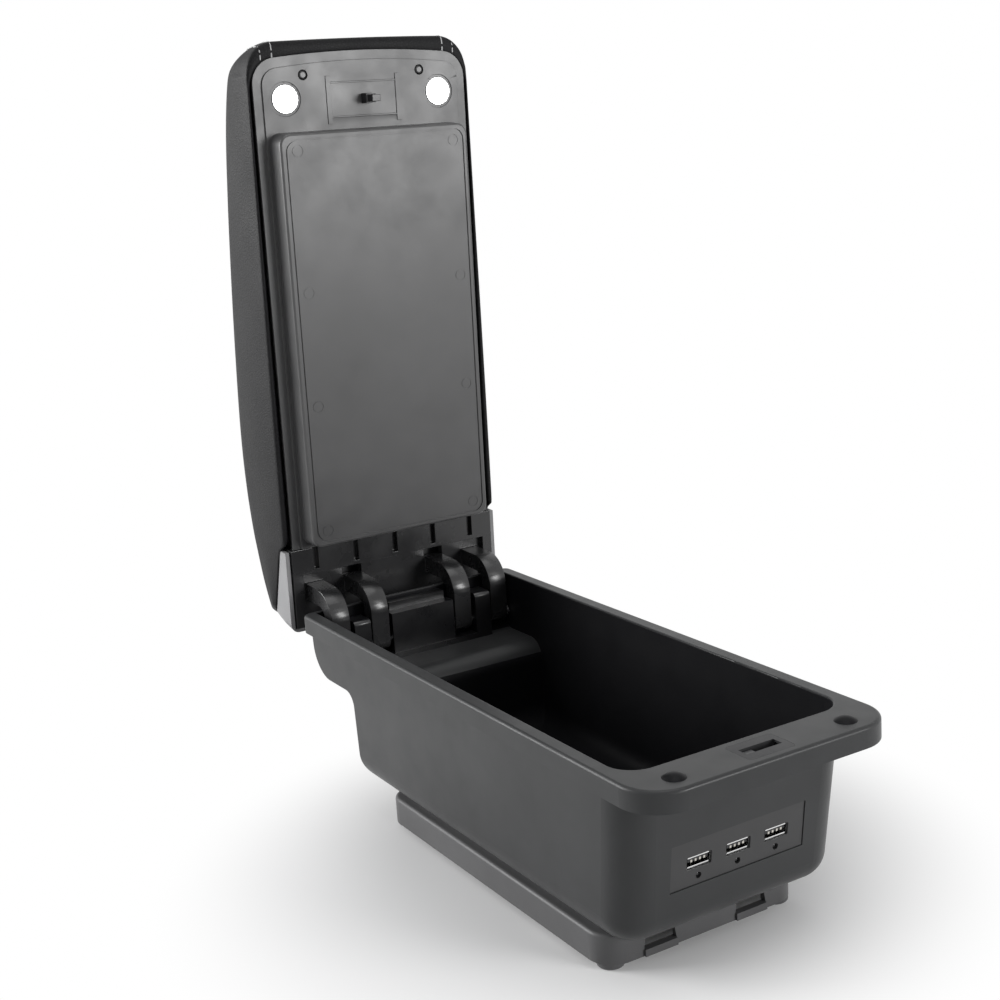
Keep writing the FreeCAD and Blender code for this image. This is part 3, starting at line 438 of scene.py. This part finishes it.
def tuck_target(x, setback):
    """Where the turned hem ends: close to the inner plate's edge, or a little inside the end cap."""
    side = math.copysign(1.0, x)
    if setback > HEM_STEP[0]:
        return x - 2.6 * side, setback
    centre_x, centre_y = PLATE_CORNER
    if setback > centre_y:
        return (centre_x + PLATE_REACH) * side, setback
    if abs(x) <= centre_x:
        return x, centre_y - PLATE_REACH - PLATE_BOW * (1 - (x / centre_x) ** 2)
    away_x = abs(x) - centre_x
    away_y = setback - centre_y
    reach = PLATE_REACH / math.hypot(away_x, away_y)
    return (centre_x + away_x * reach) * side, centre_y + away_y * reach


def pad_inside(x, setback):
    """A point of the hollow under the padding, above the shell."""
    middle = (PAD_FRONT + PAD_REAR) / 2
    level = 18.4 + max(0.0, hem_level(setback) - 17.5)
    return x * 0.885, middle + (setback - middle) * 0.95, level


def pad_columns():
    """Shares of the half width at which lengthwise lines of the padding's mesh run."""
    inner = [0, 12, 24, 34, 42, 47, 50, 51.5, 52.8, 53.8, 54.3, 54.75, 55.2, 55.7, 56.7, 58, 59.5]
    outer = [61.0, 62.5, 63.8, 65.0, 66.0, 66.6, MESH_HALF]
    right = [value / MESH_HALF for value in inner + outer]
    return [-value for value in reversed(right[1:])] + right


def column_x(share, setback):
    """A lengthwise line keeps its own distance from the middle, up to the seams, then spreads to the side."""
    reach = abs(share) * MESH_HALF
    if reach > MESH_SPREAD:
        spread = (reach - MESH_SPREAD) / (MESH_HALF - MESH_SPREAD)
        reach = MESH_SPREAD + spread * (pad_half(setback) - MESH_SPREAD)
    return math.copysign(reach, share)


def pad_rows():
    """Shares of the way back at which crosswise lines of the padding's mesh run, closer at both ends."""
    start = pad_front_at(MESH_HALF)
    end = pad_rear_at(pad_half(PAD_REAR))
    rows = [0.0, 0.004, 0.010, 0.018, 0.028, 0.04, 0.055, 0.075, 0.10]
    rows += [0.10 + 0.045 * i for i in range(1, 18)]
    rows += [(place - start) / (end - start) for place in HEM_STEP]
    rows += [0.93, 0.945, 0.958, 0.97, 0.98, 0.988, 0.994, 0.998, 1.0]
    return sorted(rows)


def build_pad():
    """The padding as one closed form: crown, front roll, sides, a turned hem and a hollow for the shell."""
    columns = pad_columns()
    rows = pad_rows()
    wall_shares = [0.0, 0.2, 0.4, 0.6, 0.8]
    mesh = bmesh.new()

    def place(x, setback, height):
        return mesh.verts.new(lid_point(x, setback, height))

    def spot(share, row):
        start = pad_front_at(share * MESH_CORNER)
        end = pad_rear_at(column_x(share, PAD_REAR))
        setback = start + (end - start) * row
        return column_x(share, setback), setback

    def patch(grid):
        for line, after in zip(grid, grid[1:]):
            for j in range(len(line) - 1):
                mesh.faces.new([line[j], after[j], after[j + 1], line[j + 1]])

    def height_at(share, row):
        x, setback = spot(share, row)
        return place(x, setback, pad_top(x, setback))

    top = [[height_at(share, row) for row in rows] for share in columns]
    patch(top)

    last_column = len(columns) - 1
    last_row = len(rows) - 1
    border = [(i, 0) for i in range(last_column + 1)]
    border += [(last_column, j) for j in range(1, last_row + 1)]
    border += [(i, last_row) for i in range(last_column - 1, -1, -1)]
    border += [(0, j) for j in range(last_row - 1, 0, -1)]
    inner = {}
    walls = []
    for i, j in border:
        x, setback = spot(columns[i], rows[j])
        bulge = math.copysign(SIDE_BULGE, x) if i in (0, last_column) else 0.0
        end_x, end_y = tuck_target(x, setback)
        turn = 1.0 if setback < HEM_STEP[1] else 0.1
        inner[i, j] = place(*pad_inside(x, setback))
        line = [inner[i, j]]
        for share, drop in reversed(TUCKS):
            line.append(place(x + (end_x - x) * share, setback + (end_y - setback) * share,
                              hem_level(setback) + drop * turn))
        for share in wall_shares:
            out = bulge * math.sin(math.pi * share)
            line.append(place(x + out, setback, pad_wall(x, setback, share)))
        line.append(top[i][j])
        walls.append(line)
    patch(walls + [walls[0]])

    def inside_at(i, j):
        return inner[i, j] if (i, j) in inner else place(*pad_inside(*spot(columns[i], rows[j])))

    patch([[inside_at(i, j) for j in range(last_row + 1)] for i in range(last_column + 1)])
    bmesh.ops.recalc_face_normals(mesh, faces=mesh.faces)
    pad = mesh_object("armrest_pad", mesh, pad_leather)
    smooth = pad.modifiers.new("smooth", "SUBSURF")
    smooth.levels = 1
    smooth.render_levels = 1
    return pad


def mesh_object(name, mesh, material):
    """A smooth-shaded object in the scene from a finished mesh."""
    data = bpy.data.meshes.new(name)
    mesh.to_mesh(data)
    mesh.free()
    for polygon in data.polygons:
        polygon.use_smooth = True
    data.materials.append(material)
    made = bpy.data.objects.new(name, data)
    bpy.context.scene.collection.objects.link(made)
    return made


pad = build_pad()
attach(pad, "lid")
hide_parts("lid_pad")


def surface_path(x):
    """Points round the turned lip, up the front and back along the top of the padding, on one line."""
    points = []
    start = pad_front_at(x)
    end = tuck_target(x, start)[1]
    for share, drop in reversed(TUCKS[:-1]):
        points.append((start + (end - start) * share, hem_level(start) + drop))
    for i in range(6):
        points.append((start, pad_wall(x, start, i / 6)))
    steps = 360
    for i in range(steps + 1):
        setback = start + (PAD_REAR - 4 - start) * (i / steps) ** 1.25
        points.append((setback, pad_top(x, setback)))
    return [lid_point(x, setback, height) for setback, height in points]


def build_stitches():
    """Twin rows of thread each side of the two lengthwise seams."""
    pitch = STITCH_PITCH * MM
    length = STITCH_LENGTH * MM
    radius = STITCH_RADIUS * MM
    mesh = bmesh.new()
    for side in (-1, 1):
        for line in STITCH_LINES:
            path = surface_path(side * line)
            reach = [0.0]
            for a, b in zip(path, path[1:]):
                reach.append(reach[-1] + (b - a).length)

            def at(distance):
                k = max(i for i in range(len(reach) - 1) if reach[i] <= distance)
                share = (distance - reach[k]) / max(reach[k + 1] - reach[k], 1e-9)
                return path[k].lerp(path[k + 1], share)

            count = int((reach[-1] - length) / pitch)
            for n in range(count):
                start = at(n * pitch)
                end = at(n * pitch + length)
                add_stitch(mesh, start, end, radius)
    return mesh_object("pad_stitching", mesh, thread_grey)


def add_stitch(mesh, start, end, radius):
    """One rounded stitch between two points."""
    along = (end - start).normalized()
    across = Vector((1, 0, 0))
    out = across.cross(along).normalized()
    rings = []
    for share, size in ((0.0, 0.3), (0.12, 0.8), (0.5, 1.0), (0.88, 0.8), (1.0, 0.3)):
        centre = start.lerp(end, share)
        ring = []
        for k in range(6):
            turn = 2 * math.pi * k / 6
            offset = across * math.cos(turn) + out * math.sin(turn)
            ring.append(mesh.verts.new(centre + offset * radius * size))
        rings.append(ring)
    for a, b in zip(rings, rings[1:]):
        for k in range(6):
            mesh.faces.new([a[k], a[(k + 1) % 6], b[(k + 1) % 6], b[k]])
    mesh.faces.new(rings[0][::-1])
    mesh.faces.new(rings[-1])


thread = build_stitches()
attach(thread, "lid")


# Sockets

SOCKET_WALL = (-127.84, 54.5)
SOCKET_PITCH = 21.5
SOCKET_FRONT = -1.3
LIP_HALF = 5.7
LIP_OUTER = 2.5
LIP_INNER = 1.95
LIP_DEPTH = 2.6
TIP_PLACES = (-3.5, -1.2, 1.2, 3.5)
TIP_HALF = 0.5
TIP_LOW = -0.3
TIP_HIGH = 0.9
TIP_FRONT = -1.55
TIP_BACK = -9.5
TIP_THICK = 0.2


def wall_point(x, up, out):
    """A point measured across, up and out of the sloping front wall, in metres."""
    lean = math.atan(FRONT_SLOPE)
    y = SOCKET_WALL[0] - up * math.sin(lean) - out * math.cos(lean)
    z = SOCKET_WALL[1] + up * math.cos(lean) - out * math.sin(lean)
    return Vector((x, y, z)) * MM


def add_wall_block(mesh, low, high):
    """A small block between two corners, each given across, up and out of the front wall."""
    corners = [mesh.verts.new(wall_point(x, up, out)) for x in (low[0], high[0])
               for up in (low[1], high[1]) for out in (low[2], high[2])]
    for face in ((0, 1, 3, 2), (4, 6, 7, 5), (0, 4, 5, 1), (2, 3, 7, 6), (0, 2, 6, 4), (1, 5, 7, 3)):
        mesh.faces.new([corners[k] for k in face])


def build_socket_trim():
    """The folded lips above and below each contact tongue, and the tips of its four contacts."""
    lips = bmesh.new()
    tips = bmesh.new()
    for step in (-1, 0, 1):
        middle = step * SOCKET_PITCH
        for low, high in ((LIP_INNER, LIP_OUTER), (-LIP_OUTER, -LIP_INNER)):
            add_wall_block(lips, (middle - LIP_HALF, low, SOCKET_FRONT - LIP_DEPTH),
                           (middle + LIP_HALF, high, SOCKET_FRONT))
        for place in TIP_PLACES:
            x = middle + place
            add_wall_block(tips, (x - TIP_HALF, TIP_LOW, TIP_FRONT - TIP_THICK),
                           (x + TIP_HALF, TIP_HIGH, TIP_FRONT))
            add_wall_block(tips, (x - TIP_HALF, TIP_LOW, TIP_BACK),
                           (x + TIP_HALF, TIP_LOW + TIP_THICK, TIP_FRONT - TIP_THICK))
    trims = (("socket_lips", lips, shell_bright), ("socket_contacts", tips, contact_gold))
    for name, mesh, material in trims:
        bmesh.ops.recalc_face_normals(mesh, faces=mesh.faces)
        trim = mesh_object(name, mesh, material)
        for polygon in trim.data.polygons:
            polygon.use_smooth = False
        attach(trim, "box")


build_socket_trim()


# Floor, light and camera

FLOOR_HALF = 6.0
SHADOW_REACH = (0.08, 0.22)
SURROUND_LIGHT = 0.12
CAMERA_PLACE = Vector((-0.3984, -0.6198, 0.3638))
CAMERA_AZIMUTH = math.radians(-30.56)
CAMERA_ELEVATION = math.radians(13.29)
CAMERA_ROLL = math.radians(-3.99)
CAMERA_LENS = 56.53


def seen_rays(tree):
    """One for rays from the camera and for reflected or refracted ones, so that metal shows the white."""
    rays = tree.nodes.new("ShaderNodeLightPath")
    reflected = tree.nodes.new("ShaderNodeMath")
    reflected.operation = "MAXIMUM"
    link(tree, rays, "Is Glossy Ray", reflected, 0)
    link(tree, rays, "Is Transmission Ray", reflected, 1)
    either = tree.nodes.new("ShaderNodeMath")
    either.operation = "MAXIMUM"
    link(tree, rays, "Is Camera Ray", either, 0)
    link(tree, reflected, "Value", either, 1)
    return either


def build_floor():
    """A wide pale floor that fades to white."""
    data = bpy.data.meshes.new("floor")
    corners = [(x * FLOOR_HALF, y * FLOOR_HALF, 0) for x, y in ((-1, -1), (1, -1), (1, 1), (-1, 1))]
    data.from_pydata(corners, [], [(0, 1, 2, 3)])
    floor = bpy.data.objects.new("floor", data)
    bpy.context.scene.collection.objects.link(floor)
    material, tree, shader = new_material("floor_white")
    coordinates = tree.nodes.new("ShaderNodeTexCoord")
    mottle = noise_node(tree, coordinates, 3.0, 2.0)
    tint = ramp_node(tree, mottle, "Fac", [(0.3, grey(0.86)), (0.7, grey(0.90))])
    link(tree, tint, "Color", shader, "Base Color")
    shader.inputs["Roughness"].default_value = 0.9
    white = tree.nodes.new("ShaderNodeEmission")
    white.inputs["Color"].default_value = (1.0, 1.0, 1.0, 1.0)
    white.inputs["Strength"].default_value = 1.0
    away = tree.nodes.new("ShaderNodeVectorMath")
    away.operation = "LENGTH"
    link(tree, coordinates, "Object", away, 0)
    fade = tree.nodes.new("ShaderNodeMapRange")
    fade.interpolation_type = "SMOOTHSTEP"
    fade.inputs["From Min"].default_value = SHADOW_REACH[0]
    fade.inputs["From Max"].default_value = SHADOW_REACH[1]
    fade.inputs["To Min"].default_value = 0.0
    fade.inputs["To Max"].default_value = 1.0
    link(tree, away, "Value", fade, "Value")
    seen = tree.nodes.new("ShaderNodeMath")
    seen.operation = "MULTIPLY"
    link(tree, seen_rays(tree), "Value", seen, 0)
    link(tree, fade, "Result", seen, 1)
    blend = tree.nodes.new("ShaderNodeMixShader")
    link(tree, seen, "Value", blend, "Fac")
    tree.links.new(shader.outputs["BSDF"], blend.inputs[1])
    tree.links.new(white.outputs["Emission"], blend.inputs[2])
    link(tree, blend, "Shader", tree.nodes["Material Output"], "Surface")
    data.materials.append(material)


def build_world():
    """An even studio surround, plain white to the camera."""
    world = bpy.data.worlds.new("studio")
    bpy.context.scene.world = world
    world.use_nodes = True
    tree = world.node_tree
    surround = tree.nodes["Background"]
    surround.inputs["Color"].default_value = (0.94, 0.96, 1.0, 1.0)
    surround.inputs["Strength"].default_value = SURROUND_LIGHT
    white = tree.nodes.new("ShaderNodeBackground")
    white.inputs["Color"].default_value = (1.0, 1.0, 1.0, 1.0)
    white.inputs["Strength"].default_value = 1.0
    blend = tree.nodes.new("ShaderNodeMixShader")
    link(tree, seen_rays(tree), "Value", blend, "Fac")
    tree.links.new(surround.outputs["Background"], blend.inputs[1])
    tree.links.new(white.outputs["Background"], blend.inputs[2])
    link(tree, blend, "Shader", tree.nodes["World Output"], "Surface")


def area_light(name, place, target, size, power):
    """A soft rectangular lamp aimed at a point."""
    lamp = bpy.data.lights.new(name, "AREA")
    lamp.shape = "RECTANGLE"
    lamp.size = size[0]
    lamp.size_y = size[1]
    lamp.energy = power
    holder = bpy.data.objects.new(name, lamp)
    bpy.context.scene.collection.objects.link(holder)
    holder.location = place
    holder.rotation_mode = "QUATERNION"
    holder.rotation_quaternion = (Vector(target) - Vector(place)).to_track_quat("-Z", "Y")


def build_camera():
    """The photograph's camera, from its angles and its place in metres."""
    back = Vector((math.sin(CAMERA_AZIMUTH) * math.cos(CAMERA_ELEVATION),
                   -math.cos(CAMERA_AZIMUTH) * math.cos(CAMERA_ELEVATION), math.sin(CAMERA_ELEVATION)))
    right = Vector((math.cos(CAMERA_AZIMUTH), math.sin(CAMERA_AZIMUTH), 0))
    up = back.cross(right)
    level = right * math.cos(CAMERA_ROLL) + up * math.sin(CAMERA_ROLL)
    upright = up * math.cos(CAMERA_ROLL) - right * math.sin(CAMERA_ROLL)
    data = bpy.data.cameras.new("camera")
    data.sensor_width = 36.0
    data.lens = CAMERA_LENS
    camera = bpy.data.objects.new("camera", data)
    bpy.context.scene.collection.objects.link(camera)
    turn = Matrix((level, upright, back)).transposed().to_4x4()
    camera.matrix_world = Matrix.Translation(CAMERA_PLACE) @ turn
    bpy.context.scene.camera = camera


build_floor()
build_world()
area_light("left", (-1.35, 1.15, 0.7), (0, 0, 0.1), (1.0, 0.9), 36)
area_light("front", (0.82, -1.5, 0.46), (0, 0, 0.3), (0.7, 0.5), 17)
area_light("top", (0.1, -0.2, 1.9), (0, 0, 0.1), (1.4, 1.2), 8)
build_camera()
bpy.context.scene.view_settings.view_transform = "Standard"
